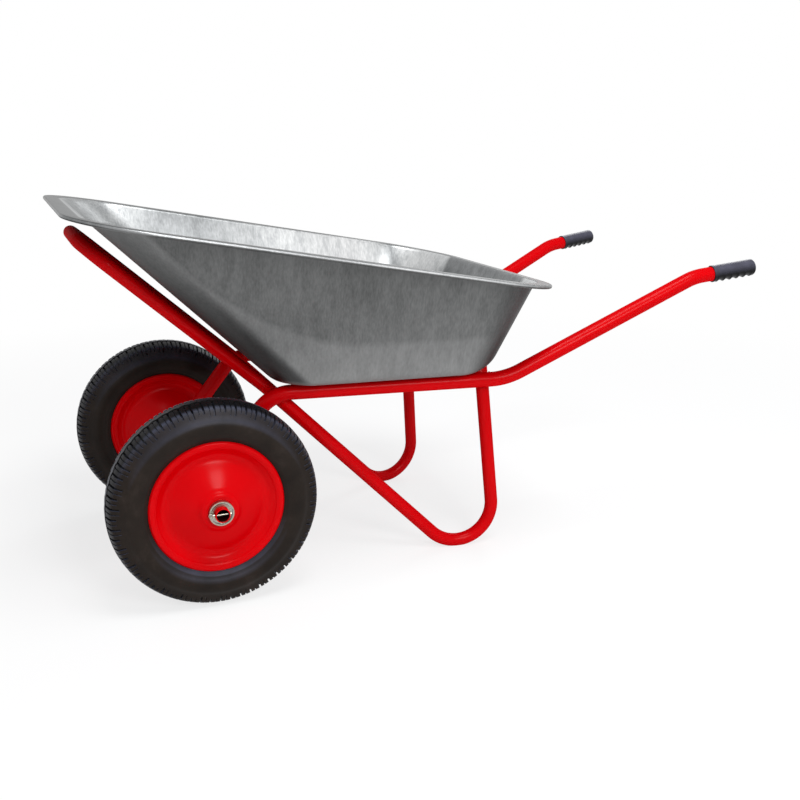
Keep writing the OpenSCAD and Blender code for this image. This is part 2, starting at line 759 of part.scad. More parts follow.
// One rib of the tray: up the sheet's outside from the floor, round the rolled edge and down the inside
function rib(i) =
    let (o = outward(floor_line, i), e1 = [o.x, o.y, 0],
        b = [floor_line[i].x, floor_line[i].y, floor_z],
        t = [wall_line[i].x, wall_line[i].y, rim_height(wall_line[i].x)],
        w = unit(t - b), e2 = unit(w - (w * e1) * e1),
        reach = (floor_round + (end_round - floor_round) * o.x * o.x) * tan(acos(w * e1) / 2),
        curve = [for (k = [0 : round_steps]) let (s = k / round_steps)
            b - e1 * reach * (1 - s) * (1 - s) + w * reach * s * s],
        normals = [for (k = [0 : round_steps]) let (s = k / round_steps, v = unit(e1 * (1 - s) + w * s))
            e2 * (v * e1) - e1 * (v * e2)],
        q = outward(wall_line, i), out = unit([q.x, q.y, -rim_fall * q.x]), up = unit([rim_fall, 0, 1]),
        c = t + out * (flange_w - bead_d / 2) + up * (sheet - bead_d / 2))
    concat(
        curve,
        [t, t + out * (flange_w - bead_d)],
        [for (k = [0 : bead_steps]) let (a = 180 + 270 * k / bead_steps)
            c + bead_d / 2 * (cos(a) * out + sin(a) * up)],
        [t + up * sheet + normals[round_steps] * sheet],
        [for (k = [round_steps : -1 : 0]) curve[k] + normals[k] * sheet]
    );

module tray() {
    ribs = [for (i = [0 : len(floor_line) - 1]) rib(i)];
    n = len(ribs);
    m = len(ribs[0]);
    color(galvanised) on_origin() difference() {
        polyhedron(
            points = [for (r = ribs) each r],
            faces = concat(
                [for (i = [0 : n - 1]) for (k = [0 : m - 2])
                    each [[i * m + k, i * m + k + 1, ((i + 1) % n) * m + k],
                        [i * m + k + 1, ((i + 1) % n) * m + k + 1, ((i + 1) % n) * m + k]]],
                [[for (i = [0 : n - 1]) i * m]],
                [[for (i = [n - 1 : -1 : 0]) i * m + m - 1]]
            )
        );
        for (p = bolt_places) translate([p.x, p.y, floor_z - overrun])
            cylinder(h = sheet + 2 * overrun, d = bolt_d + 2 * seat_gap);
    }
}

module at_bolts() {
    on_origin() for (p = bolt_places) translate([p.x, p.y, floor_z]) children();
}

module tray_bolts() {
    stack = sheet + washer_t;
    color(zinc) at_bolts() {
        translate([0, 0, stack - bolt_len]) cylinder(h = bolt_len, d = bolt_d);
        translate([0, 0, stack]) rotate_extrude() polygon([
            [0, 0],
            [bolt_head_d / 2, 0],
            for (a = [0 : 15 : 90])
                [bolt_head_d / 2 * cos(a), bolt_head_edge + (bolt_head_h - bolt_head_edge) * sin(a)]
        ]);
    }
}

module tray_washers() {
    color(zinc) at_bolts() translate([0, 0, sheet]) difference() {
        cylinder(h = washer_t, d = washer_d);
        translate([0, 0, -overrun]) cylinder(h = washer_t + 2 * overrun, d = bolt_d + 2 * seat_gap);
    }
}

module rivet_nuts() {
    color(zinc) at_bolts() difference() {
        union() {
            translate([0, 0, -nut_collar_h]) cylinder(h = nut_collar_h, d = nut_collar_d);
            translate([0, 0, -nut_sleeve_len]) cylinder(h = nut_sleeve_len, d = nut_sleeve_d);
        }
        translate([0, 0, -nut_sleeve_len - overrun])
            cylinder(h = nut_sleeve_len + 2 * overrun, d = bolt_d + 2 * seat_gap);
    }
}

handle(-1);  // handle_left
handle(1);  // handle_right
leg_loop();
grip(-1);  // grip_left
grip(1);  // grip_right
axle();
axle_spacers();
axle_washers();
cotter_pins();
bearing_inner_rings();
tray();
tray_bolts();
tray_washers();
rivet_nuts();
tyre(-1);  // tyre_left
inner_tube(-1);  // inner_tube_left
valve_cap(-1);  // valve_cap_left
rim(-1);  // rim_left
disc_outer(-1);  // disc_outer_left
disc_inner(-1);  // disc_inner_left
hub(-1);  // hub_left
bearing_outer_rings(-1);  // bearing_outer_rings_left
bearing_balls(-1);  // bearing_balls_left
tyre(1);  // tyre_right
inner_tube(1);  // inner_tube_right
valve_cap(1);  // valve_cap_right
rim(1);  // rim_right
disc_outer(1);  // disc_outer_right
disc_inner(1);  // disc_inner_right
hub(1);  // hub_right
bearing_outer_rings(1);  // bearing_outer_rings_right
bearing_balls(1);  // bearing_balls_right
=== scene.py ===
"""Two wheel garden barrow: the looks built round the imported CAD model.

Sizes are in millimetres and are turned to metres where a mesh is made. Side view places are measured
along X from the axle, as they are in the part's source.
"""

import json
import math

import bpy
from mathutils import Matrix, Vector


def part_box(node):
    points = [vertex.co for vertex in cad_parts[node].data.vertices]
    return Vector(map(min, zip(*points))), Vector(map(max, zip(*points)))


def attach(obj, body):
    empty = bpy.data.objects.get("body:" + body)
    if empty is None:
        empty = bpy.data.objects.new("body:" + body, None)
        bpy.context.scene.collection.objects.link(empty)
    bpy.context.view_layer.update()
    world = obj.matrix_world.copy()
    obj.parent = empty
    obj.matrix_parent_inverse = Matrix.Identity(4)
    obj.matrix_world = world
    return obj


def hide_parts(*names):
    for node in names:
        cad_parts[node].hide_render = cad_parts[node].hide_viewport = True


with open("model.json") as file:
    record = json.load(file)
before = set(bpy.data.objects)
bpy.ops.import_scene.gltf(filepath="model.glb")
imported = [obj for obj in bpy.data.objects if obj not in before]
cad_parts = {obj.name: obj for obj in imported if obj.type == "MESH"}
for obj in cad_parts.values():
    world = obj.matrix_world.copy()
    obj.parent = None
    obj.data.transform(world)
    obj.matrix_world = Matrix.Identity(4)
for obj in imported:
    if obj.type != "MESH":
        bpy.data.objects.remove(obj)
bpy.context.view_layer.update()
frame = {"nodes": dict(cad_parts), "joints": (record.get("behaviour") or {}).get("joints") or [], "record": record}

MM = 0.001
UP = Vector((0, 0, 1))
SIDES = ((-1, "left"), (1, "right"))
AXLE = Vector(frame["joints"][0]["pos_m"]) / MM
AXLE_X, AXLE_Z = AXLE.x, AXLE.z
TRACK = 2 * abs(AXLE.y)


# Materials


def linear(hex_colour):
    """Linear RGBA of an sRGB hex colour."""
    parts = [int(hex_colour[i:i + 2], 16) / 255 for i in (1, 3, 5)]
    return [c / 12.92 if c <= 0.04045 else ((c + 0.055) / 1.055) ** 2.4 for c in parts] + [1.0]


def per_metre(size_mm):
    """Texture scale at which one cell of a pattern is size_mm across."""
    return 1 / (size_mm * MM)


def add(tree, kind, inputs=None, links=None, stops=(), **settings):
    """Adds one shader node with its settings, input values, links and, for a ramp, (place, colour) stops.

    A link comes from an output, or from a node, which stands for its first output."""
    node = tree.nodes.new("ShaderNode" + kind)
    for name, value in settings.items():
        setattr(node, name, value)
    for name, value in (inputs or {}).items():
        node.inputs[name].default_value = value
    for name, source in (links or {}).items():
        output = source.outputs[0] if isinstance(source, bpy.types.Node) else source
        tree.links.new(output, node.inputs[name])
    if stops:
        elements = node.color_ramp.elements
        while len(elements) < len(stops):
            elements.new(0.5)
        for element, (place, colour) in zip(elements, stops):
            element.position = place
            element.color = linear(colour)
    return node


def new_material(name):
    """Empty material, its node tree and the output that gives a point's place on its object."""
    material = bpy.data.materials.new(name)
    material.use_nodes = True
    tree = material.node_tree
    tree.nodes.clear()
    return material, tree, add(tree, "TexCoord").outputs["Object"]


def gloss_red_enamel():
    """Stoved gloss enamel on steel: an even deep red, a soft gloss and a faint orange peel.

    Where the attribute bare_and_shaded is 1, as inside the axle, the paint is missing and dark scale shows,
    painted darker still as the shade deep in the bore."""
    material, tree, place = new_material("gloss_red_enamel")
    cloud = add(tree, "TexNoise", {"Scale": per_metre(70), "Detail": 3.0}, {"Vector": place})
    # Real orange peel is about 1 mm, drawn at 6 mm so that it shows
    peel = add(tree, "TexNoise", {"Scale": per_metre(6), "Detail": 1.0}, {"Vector": place})
    bump = add(tree, "Bump", {"Strength": 0.05, "Distance": 0.00003}, {"Height": peel})
    red = add(tree, "ValToRGB", links={"Fac": cloud}, stops=((0.3, "#c10005"), (0.7, "#ca0007")))
    # Dark scale of the unpainted bore, dark enough to stand also as painted shade deep in the axle
    scale = add(tree, "ValToRGB", links={"Fac": cloud}, stops=((0.3, "#2a0a09"), (0.7, "#3c100e")))
    bare_and_shaded = add(tree, "Attribute", attribute_name="bare_and_shaded").outputs["Fac"]
    colour = add(tree, "MixRGB", links={"Fac": bare_and_shaded, "Color1": red, "Color2": scale})
    rough = add(tree, "MapRange", {"From Min": 0.3, "From Max": 0.7, "To Min": 0.42, "To Max": 0.5},
                {"Value": cloud})
    shader = add(tree, "BsdfPrincipled",
                 {"Specular IOR Level": 0.0, "Coat Weight": 0.035, "Coat IOR": 2.2, "Coat Roughness": 0.22},
                 {"Base Color": colour, "Roughness": rough, "Normal": bump})
    add(tree, "OutputMaterial", links={"Surface": shader})
    return material


def galvanised_sheet():
    """Thin zinc coat on drawn sheet, with bright streaks inside: it is painted lit inside, and in shade on the
    outside and on the flange.

    Painted shade makes the corners darkest, a painted reflection of the floor makes a pale band low on the
    outside, and the rolled edge has a painted highlight.
    The attribute edge is 0 on floor and walls, 0.5 on the flange and 1 on the rolled edge."""
    material, tree, place = new_material("galvanised_sheet")
    # Upright streaks 3 mm wide and 160 mm long lie in bands 16 mm wide and 420 mm long
    thin_cells, wide_cells = (
        add(tree, "Mapping", {"Scale": [per_metre(size) for size in sizes]}, {"Vector": place})
        for sizes in ((3, 3, 160), (16, 16, 420)))
    streak = add(tree, "TexNoise", {"Scale": 1.0, "Detail": 2.0}, {"Vector": thin_cells})
    band = add(tree, "TexNoise", {"Scale": 1.0, "Detail": 3.0}, {"Vector": wide_cells})
    cloud = add(tree, "TexNoise", {"Scale": per_metre(110), "Detail": 4.0}, {"Vector": place})
    lines = add(tree, "Mix", {"Factor": 0.5}, {"A": streak, "B": band})
    tone = add(tree, "Mix", {"Factor": 0.3}, {"A": lines, "B": cloud})
    normal = add(tree, "SeparateXYZ", links={0: add(tree, "NewGeometry").outputs["Normal"]}).outputs
    spot = add(tree, "SeparateXYZ", links={0: place}).outputs
    edge = add(tree, "Attribute", attribute_name="edge").outputs["Fac"]

    # A painted reflection of the floor: a paler band below a clear edge, level at 430 mm and rising towards the
    # front
    ahead = add(tree, "MapRange", {"From Min": -0.15, "From Max": -0.65, "To Max": 0.5},
                {"Value": spot["X"]})
    rise = add(tree, "Math", links={0: ahead, 1: ahead}, operation="MULTIPLY")
    drop = add(tree, "Math", {1: -1.5}, {0: rise, 2: spot["Z"]}, operation="MULTIPLY_ADD")
    wander = add(tree, "Math", {1: 0.012}, {0: cloud, 2: drop}, operation="MULTIPLY_ADD")
    floor_reflection_band = add(tree, "MapRange", {"From Min": 0.442, "From Max": 0.43}, {"Value": wander})
    height = add(tree, "MapRange", {"From Min": 0.36, "From Max": 0.6}, {"Value": spot["Z"]})
    streaked = add(tree, "MapRange", {"From Min": 0.36, "From Max": 0.66}, {"Value": tone})
    # The outside in painted shade, darker towards the top, and the paler greys of the floor's painted reflection
    shaded_outside_dark, shaded_outside_pale, floor_reflection_dark, floor_reflection_pale = (
        add(tree, "ValToRGB", links={"Fac": height}, stops=stops)
        for stops in (((0.3, "#646565"), (1.0, "#585959")), ((0.3, "#808181"), (1.0, "#747575")),
                      ((0.0, "#828383"), (0.35, "#747575")), ((0.0, "#989999"), (0.35, "#8a8b8b"))))
    floor_reflection_grey = add(tree, "MixRGB", links={"Fac": streaked, "Color1": floor_reflection_dark, "Color2": floor_reflection_pale})

    # A darker and a paler grey, between which the streaks change, for each other place on the sheet: painted shade
    # for the corners, the flange, the inner front and back walls and the ends of the rolled edge, and a painted
    # highlight for the rolled edge
    corner_shade_upper, corner_shade_lower, flange, dim_roll_highlight, bright_roll_highlight, painted_shade_grey = (
        add(tree, "ValToRGB", links={"Fac": tone}, stops=((0.36, dark), (0.66, pale)))
        for dark, pale in (("#343536", "#464748"), ("#1c1d1d", "#282929"), ("#3e4041", "#5c5e5f"),
                           ("#868889", "#9c9d9e"), ("#aeb0b1", "#c8c9ca"), ("#666869", "#8c8e8f")))
    corner = add(tree, "MixRGB", links={"Fac": floor_reflection_band, "Color1": corner_shade_upper, "Color2": corner_shade_lower})
    # The painted shade of the front corners reaches further round them near the floor
    turn = add(tree, "Math", {1: 0.9}, {0: spot["Z"], 2: normal["X"]}, operation="MULTIPLY_ADD")
    front_corner_shade = add(tree, "MapRange", {"From Min": 0.2, "From Max": -0.22}, {"Value": turn})
    # Painted shade round the back corners on the outside
    back_corner_shade = add(tree, "MapRange", {"From Max": 0.55, "To Max": 0.9}, {"Value": normal["X"]})

    # Along the inner walls a painted light: darker towards the front, with a painted highlight at the front
    # corners and painted shade in the crease of the back corners
    along = add(tree, "MapRange", {"From Min": -0.52, "From Max": 0.2}, {"Value": spot["X"]})
    dark_streaks_lit_along, pale_streaks_lit_along = (
        add(tree, "ValToRGB", links={"Fac": along}, stops=stops)
        for stops in (
            ((0.03, "#86888a"), (0.12, "#6c6e6f"), (0.3, "#6c6e6f"), (0.5, "#969899"), (0.72, "#a8a9aa"),
             (0.82, "#a0a2a3"), (0.87, "#5e6061"), (0.9, "#9a9c9d"), (1.0, "#acaeaf")),
            ((0.03, "#b6b8b8"), (0.12, "#8e9091"), (0.3, "#8e9091"), (0.5, "#c0c1c1"), (0.72, "#d2d2d2"),
             (0.82, "#c8c9c9"), (0.87, "#7a7c7d"), (0.9, "#c0c1c1"), (1.0, "#d4d5d5"))))
    brushed = add(tree, "MapRange", {"From Min": 0.38, "From Max": 0.62}, {"Value": tone})
    # Inside, the front wall and the back wall between its corners get painted shade
    front_wall_shade = add(tree, "MapRange", {"From Min": 0.3, "From Max": 0.6}, {"Value": normal["X"]})
    behind = add(tree, "MapRange", {"From Min": 0.08, "From Max": 0.1}, {"Value": spot["X"]})
    aside = add(tree, "Math", links={0: spot["Y"]}, operation="ABSOLUTE")
    between = add(tree, "MapRange", {"From Min": 0.172, "From Max": 0.16}, {"Value": aside})
    back_wall_shade = add(tree, "Math", links={0: behind, 1: between}, operation="MULTIPLY")
    # The flange is painted in shade, darker than the walls
    on_flange = add(tree, "MapRange", {"From Min": 0.1, "From Max": 0.5}, {"Value": edge})
    within = add(tree, "MapRange", {"From Min": -0.04, "From Max": 0.12}, {"Value": normal["Z"]})

    # A painted highlight along the rolled edge where it faces up and out, dimmer towards the front, with painted
    # shade at its front and back ends
    middle = add(tree, "MapRange", {"From Min": -0.25, "From Max": -0.12}, {"Value": spot["X"]})
    tail = add(tree, "MapRange", {"From Min": 0.08, "From Max": 0.18}, {"Value": spot["X"]})
    nose = add(tree, "MapRange", {"From Min": -0.56, "From Max": -0.63}, {"Value": spot["X"]})
    over_side = add(tree, "MapRange", {"From Min": -0.3, "From Max": 0.0}, {"Value": normal["Z"]})
    under_top = add(tree, "MapRange", {"From Min": 0.85, "From Max": 0.6}, {"Value": normal["Z"]})
    highlight_facing = add(tree, "Math", links={0: over_side, 1: under_top}, operation="MULTIPLY")
    on_roll = add(tree, "MapRange", {"From Min": 0.6, "From Max": 0.9}, {"Value": edge})
    roll_highlight = add(tree, "Math", links={0: highlight_facing, 1: on_roll}, operation="MULTIPLY")

    # Painted light and shade in layers: the outside in shade with the floor's painted reflection and shaded
    # corners, the inside lit with shaded walls and flange, and the highlight of the rolled edge
    greys = []
    for colour, layers in (
        (shaded_outside_dark, ((streaked, shaded_outside_pale), (floor_reflection_band, floor_reflection_grey), (front_corner_shade, corner),
                      (back_corner_shade, corner))),
        (dark_streaks_lit_along, ((brushed, pale_streaks_lit_along), (front_wall_shade, painted_shade_grey), (back_wall_shade, painted_shade_grey), (on_flange, flange))),
        (dim_roll_highlight, ((middle, bright_roll_highlight), (tail, painted_shade_grey), (nose, painted_shade_grey))),
    ):
        for share, over in layers:
            colour = add(tree, "MixRGB", links={"Fac": share, "Color1": colour, "Color2": over})
        greys.append(colour)
    outside, inside, roll = greys
    # Inside is painted lit and outside in painted shade: two greys of one sheet, chosen by which way it faces
    sheet = add(tree, "MixRGB", links={"Fac": within, "Color1": outside, "Color2": inside})
    # The painted highlight of the rolled edge lies over the sheet where the edge faces up and out
    colour = add(tree, "MixRGB", links={"Fac": roll_highlight, "Color1": sheet, "Color2": roll})
    rough = add(tree, "MapRange", {"To Min": 0.52, "To Max": 0.38}, {"Value": within})
    bump = add(tree, "Bump", {"Strength": 0.08, "Distance": 0.0002}, {"Height": streak})
    shader = add(tree, "BsdfPrincipled", {"Metallic": 1.0},
                 {"Base Color": colour, "Roughness": rough, "Normal": bump})
    add(tree, "OutputMaterial", links={"Surface": shader})
    return material


def zinc_plate():
    """Passivated zinc plate on turned steel: a warm pale metal with a satin turning mark."""
    material, tree, place = new_material("zinc_plate")
    # Turning marks are finer than 0.2 mm, drawn at 3 mm so that they show
    grain = add(tree, "TexNoise", {"Scale": per_metre(3), "Detail": 4.0}, {"Vector": place})
    bump = add(tree, "Bump", {"Strength": 0.08, "Distance": 0.0001}, {"Height": grain})
    colour = add(tree, "ValToRGB", links={"Fac": grain}, stops=((0.35, "#9c968a"), (0.65, "#bcb6a8")))
    rough = add(tree, "MapRange", {"From Min": 0.3, "From Max": 0.7, "To Min": 0.38, "To Max": 0.24},
                {"Value": grain})
    shader = add(tree, "BsdfPrincipled", {"Metallic": 1.0},
                 {"Base Color": colour, "Roughness": rough, "Normal": bump})
    add(tree, "OutputMaterial", links={"Surface": shader})
    return material


def ground_bearing_steel():
    """Ground and hardened steel: a bright neutral metal."""
    material, tree, place = new_material("ground_bearing_steel")
    # Grinding marks are finer than 0.1 mm, drawn at 1.5 mm so that they show
    grain = add(tree, "TexNoise", {"Scale": per_metre(1.5), "Detail": 2.0}, {"Vector": place})
    colour = add(tree, "ValToRGB", links={"Fac": grain}, stops=((0.3, "#a6a6a6"), (0.7, "#bcbcbc")))
    rough = add(tree, "MapRange", {"To Min": 0.16, "To Max": 0.26}, {"Value": grain})
    shader = add(tree, "BsdfPrincipled", {"Metallic": 1.0}, {"Base Color": colour, "Roughness": rough})
    add(tree, "OutputMaterial", links={"Surface": shader})
    return material


def moulded_tyre_rubber():
    """Vulcanised carbon black rubber: near black with a brown cast, a low sheen and a fine grain.

    What faces up is painted paler and bluer as sheen. Where the attribute crown is 1, the ground has scuffed it
    black."""
    material, tree, place = new_material("moulded_tyre_rubber")
    cloud = add(tree, "TexNoise", {"Scale": per_metre(45), "Detail": 5.0, "Roughness": 0.6},
                {"Vector": place})
    # The mould's grain is about 0.5 mm, drawn at 1.6 mm so that it shows
    grain = add(tree, "TexNoise", {"Scale": per_metre(1.6), "Detail": 3.0}, {"Vector": place})
    bump = add(tree, "Bump", {"Strength": 0.15, "Distance": 0.0002}, {"Height": grain})
    normal = add(tree, "SeparateXYZ", links={0: add(tree, "NewGeometry").outputs["Normal"]}).outputs
    # What faces up is painted paler and bluer, as sheen from above
    upward = add(tree, "MapRange", {"From Min": 0.15, "From Max": 0.8}, {"Value": normal["Z"]})
    crown = add(tree, "Attribute", attribute_name="crown").outputs["Fac"]
    brown, painted_sheen_top, black = (
        add(tree, "ValToRGB", links={"Fac": cloud}, stops=stops)
        for stops in (((0.35, "#19130f"), (0.6, "#211a15"), (0.75, "#2c2420")),
                      ((0.35, "#343641"), (0.75, "#454858")), ((0.35, "#0e0d0d"), (0.75, "#181718"))))
    side = add(tree, "MixRGB", links={"Fac": upward, "Color1": brown, "Color2": painted_sheen_top})
    colour = add(tree, "MixRGB", links={"Fac": crown, "Color1": side, "Color2": black})
    rough = add(tree, "MapRange", {"From Min": 0.3, "From Max": 0.7, "To Min": 0.36, "To Max": 0.5},
                {"Value": grain})
    shader = add(tree, "BsdfPrincipled",
                 {"Specular IOR Level": 0.13, "Sheen Weight": 0.16, "Sheen Roughness": 0.3,
                  "Sheen Tint": linear("#aab4d8")},
                 {"Base Color": colour, "Roughness": rough, "Normal": bump})
    add(tree, "OutputMaterial", links={"Surface": shader})
    return material


def soft_tube_rubber():
    """Butyl rubber of an air tube: soft black with a waxy bloom."""
    material, tree, place = new_material("soft_tube_rubber")
    bloom = add(tree, "TexNoise", {"Scale": per_metre(12), "Detail": 4.0}, {"Vector": place})
    colour = add(tree, "ValToRGB", links={"Fac": bloom}, stops=((0.3, "#161616"), (0.7, "#222222")))
    rough = add(tree, "MapRange", {"To Min": 0.5, "To Max": 0.65}, {"Value": bloom})
    shader = add(tree, "BsdfPrincipled", {"Specular IOR Level": 0.25},
                 {"Base Color": colour, "Roughness": rough})
    add(tree, "OutputMaterial", links={"Surface": shader})
    return material


def moulded_grip_plastic():
    """Soft PVC moulding with a matt grain: near black below as painted shade, and paler above as a painted
    highlight.
    """
    material, tree, place = new_material("moulded_grip_plastic")
    cloud = add(tree, "TexNoise", {"Scale": per_metre(18), "Detail": 3.0}, {"Vector": place})
    # The mould's grain is about 0.2 mm, drawn at 1 mm so that it shows
    grain = add(tree, "TexNoise", {"Scale": per_metre(1), "Detail": 2.0}, {"Vector": place})
    bump = add(tree, "Bump", {"Strength": 0.2, "Distance": 0.0002}, {"Height": grain})
    normal = add(tree, "SeparateXYZ", links={0: add(tree, "NewGeometry").outputs["Normal"]}).outputs
    # What faces up is painted lit and paler, the underside painted in shade
    upward = add(tree, "MapRange", {"From Min": -0.3, "From Max": 0.6}, {"Value": normal["Z"]})
    below = add(tree, "ValToRGB", links={"Fac": cloud}, stops=((0.3, "#030304"), (0.7, "#070708")))
    above = add(tree, "ValToRGB", links={"Fac": cloud}, stops=((0.3, "#3c3c47"), (0.7, "#4a4a57")))
    colour = add(tree, "MixRGB", links={"Fac": upward, "Color1": below, "Color2": above})
    rough = add(tree, "MapRange", {"To Min": 0.26, "To Max": 0.38}, {"Value": grain})
    shader = add(tree, "BsdfPrincipled",
                 {"Specular IOR Level": 0.15, "Sheen Weight": 0.04, "Sheen Tint": linear("#b4b6d0")},
                 {"Base Color": colour, "Roughness": rough, "Normal": bump})
    add(tree, "OutputMaterial", links={"Surface": shader})
    return material


FINISH = {
    "red_paint": gloss_red_enamel(),
    "galvanised": galvanised_sheet(),
    "zinc": zinc_plate(),
    "bearing_steel": ground_bearing_steel(),
    "tyre": moulded_tyre_rubber(),
    "tube_rubber": soft_tube_rubber(),
    "grip": moulded_grip_plastic(),
}


# Mesh helpers


def piece(name, points, faces, slot, body, stands_for=(), sharp=38):
    """Mesh object from points in millimetres, set on its body with the finish of its slot.

    Edges that turn by more than sharp degrees stay sharp."""
    mesh = bpy.data.meshes.new(name)
    mesh.from_pydata([Vector(p) * MM for p in points], [], faces)
    mesh.validate()
    mesh.shade_smooth()
    mesh.set_sharp_from_angle(angle=math.radians(sharp))
    mesh.materials.append(FINISH[slot])
    thing = bpy.data.objects.new(name, mesh)
    bpy.context.scene.collection.objects.link(thing)
    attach(thing, body)
    if stands_for:
        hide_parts(*stands_for)
    return thing


def mark(thing, name, values):
    """Keeps one value for each point of a mesh, for its finish to read."""
    thing.data.attributes.new(name, "FLOAT", "POINT").data.foreach_set("value", values)


def at(x, y, z):
    """Point of the part's frame from a place measured along X from the axle."""
    return Vector((x + AXLE_X, y, z))


def turns(count):
    """Angles of one full turn in equal steps."""
    return [2 * math.pi * k / count for k in range(count)]


def turned(faces):
    """The same faces, seen from their other side."""
    return [tuple(reversed(face)) for face in faces]


def rounded(line, reaches, steps):
    """Line of 2D or 3D points whose inner corners are rounded, each over its reach to both sides."""
    most = 0.49
    line = [Vector(p) for p in line]
    out = [line[0]]
    for before, corner, after, reach in zip(line, line[1:], line[2:], reaches[1:]):
        a, b = before - corner, after - corner
        reach = min(reach, most * a.length, most * b.length)
        if reach <= 0:
            out.append(corner)
            continue
        u, v = a.normalized() * reach, b.normalized() * reach
        out += [corner + u * (1 - k / steps) ** 2 + v * (k / steps) ** 2 for k in range(steps + 1)]
    return out + [line[-1]]


def rings_to_faces(count, size, wrap=False):
    """Quads between rings of points that follow one another."""
    faces = []
    for k in range(count if wrap else count - 1):
        a, b = k * size, (k + 1) % count * size
        for j in range(size):
            i = (j + 1) % size
            faces.append((a + j, b + j, b + i, a + i))
    return faces


def end_caps(points, size):
    """Faces that close the first and the last ring of points."""
    return [tuple(range(size)), tuple(reversed(range(len(points) - size, len(points))))]


def lathe(profile, place, segments=128):
    """Ring of revolution about Y through place from a closed profile of (radius, y)."""
    points = []
    for t in turns(segments):
        points += [place + Vector((r * math.sin(t), y, r * math.cos(t))) for r, y in profile]
    return points, rings_to_faces(segments, len(profile), wrap=True)


def join(parts):
    """One list of points and one of faces from several pairs of them."""
    points, faces = [], []
    for part_points, part_faces in parts:
        first = len(points)
        points += part_points
        faces += [tuple(first + i for i in face) for face in part_faces]
    return points, faces


# Bent tubes


def path_stations(corners, radii):
    """Centres and directions along a path with bends of the given radii at its inner corners."""
    step = 4.0
    corners = [Vector(c) for c in corners]
    out = [(corners[0], (corners[1] - corners[0]).normalized())]
    for i in range(1, len(corners) - 1):
        a = (corners[i] - corners[i - 1]).normalized()
        b = (corners[i + 1] - corners[i]).normalized()
        angle = a.angle(b)
        n = (b - a * a.dot(b)).normalized()
        r = radii[i - 1]
        start = corners[i] - a * r * math.tan(angle / 2)
        count = max(2, math.ceil(math.degrees(angle) / step))
        for k in range(count + 1):
            t = angle * k / count
            centre = start + r * (math.sin(t) * a + (1 - math.cos(t)) * n)
            out.append((centre, math.cos(t) * a + math.sin(t) * n))
    out.append((corners[-1], (corners[-1] - corners[-2]).normalized()))
    return out


def tube(stations, side, section):
    """Tube along stations with two open ends.

    section(k) gives its radii along the side direction and across it, and a shift to that side."""
    wall, hollow, sides = 1.5, 22, 36
    # At an end the skin turns over the rim into the bore: how much thinner and how far in each ring is
    mouth = ((wall, hollow), (wall, 0), (0.25, 0), (0, 0.3))
    frames = []
    x = Vector(side)
    for k, (centre, along) in enumerate(stations):
        x = (x - along * x.dot(along)).normalized()
        frames.append((centre, along, x, section(k)))

    def ring(place, thin=0, inward=0):
        centre, along, x, (rx, ry, shift) = place
        y = along.cross(x)
        middle = centre + along * inward + x * shift
        return [middle + x * (rx - thin) * math.cos(t) + y * (ry - thin) * math.sin(t) for t in turns(sides)]

    rings = [ring(frames[0], thin, inward) for thin, inward in mouth]
    rings += [ring(place) for place in frames[1:-1]]
    rings += [ring(frames[-1], thin, -inward) for thin, inward in reversed(mouth)]
    points = [p for r in rings for p in r]
    return points, turned(rings_to_faces(len(rings), sides) + end_caps(points, sides))


# Sizes of the frame and the tray, as in the part's source
HANDLE_D, LEG_D, AXLE_D, AXLE_WALL = 28, 25, 25, 2
WELD_GAP = 0.3
TOE, SPREAD, LEAN, DIAGONAL = (math.radians(a) for a in (8.1, 3, 4.8, 44.6))
SLOPE, GRIP_SLOPE = math.radians(25.2), math.radians(6.9)
SLOPE_RUN, GRIP_RUN = 376, 129
BED_Z, FOOT_X, FOOT_R = 333.5, 483, 71
# Radii of the bends, from the axle to the grip and from the foot to the nose
HANDLE_BENDS, LEG_BENDS = (75, 140, 110), (FOOT_R, 120, 62)
# Collar of a rivet nut between handle tube and tray, and height of the leg's end over the handle tube
COLLAR, LEG_OVER = 6, 3.6
FRONT_BEND_LEAD, REAR_BEND_LEAD = 6, 37
FLOOR_FRONT_LEAD, FLOOR_BACK_LEAD = 13, 23
FRONT_WALL_RUN, BACK_WALL_RUN = 314.5, 83
TRAY_H, RIM_FALL = 276, 0.182
NOSE_SET, NOSE_DROP = 3, 51.6
# Each handle tube stands against the spacer of its wheel, which reaches to the wheel's inner bearing
BEARING_OUT, SPACER = 59, 33.8
STRUT_HALF = (HANDLE_D / 2 + WELD_GAP) / math.cos(TOE) + AXLE_D / 2 * math.tan(TOE)
HALF_W = TRACK / 2 - BEARING_OUT - SPACER - STRUT_HALF


def handle_y(x):
    """Distance of a handle tube from the middle."""
    return HALF_W + x * math.tan(TOE)


def handle_point(side, x, z):
    """Point on the middle of a handle tube's plane."""
    return at(x, side * handle_y(x), z)


def handle_out(side):
    """Outward direction of a handle tube's plane."""
    return Vector((-math.sin(TOE), side * math.cos(TOE), 0))


BED_ALONG = Vector((math.cos(TOE), -math.sin(TOE), 0))
LEG_UP = Vector((0, 0, math.cos(SPREAD))) - math.sin(SPREAD) * handle_out(-1)


def leg_point(s, h):
    """Point of the left leg's plane: s along the bed from the axle, h up from the bed."""
    inside = (HANDLE_D + LEG_D) / 2 + WELD_GAP
    return handle_point(-1, 0, BED_Z) + s * BED_ALONG - inside * handle_out(-1) + h * LEG_UP


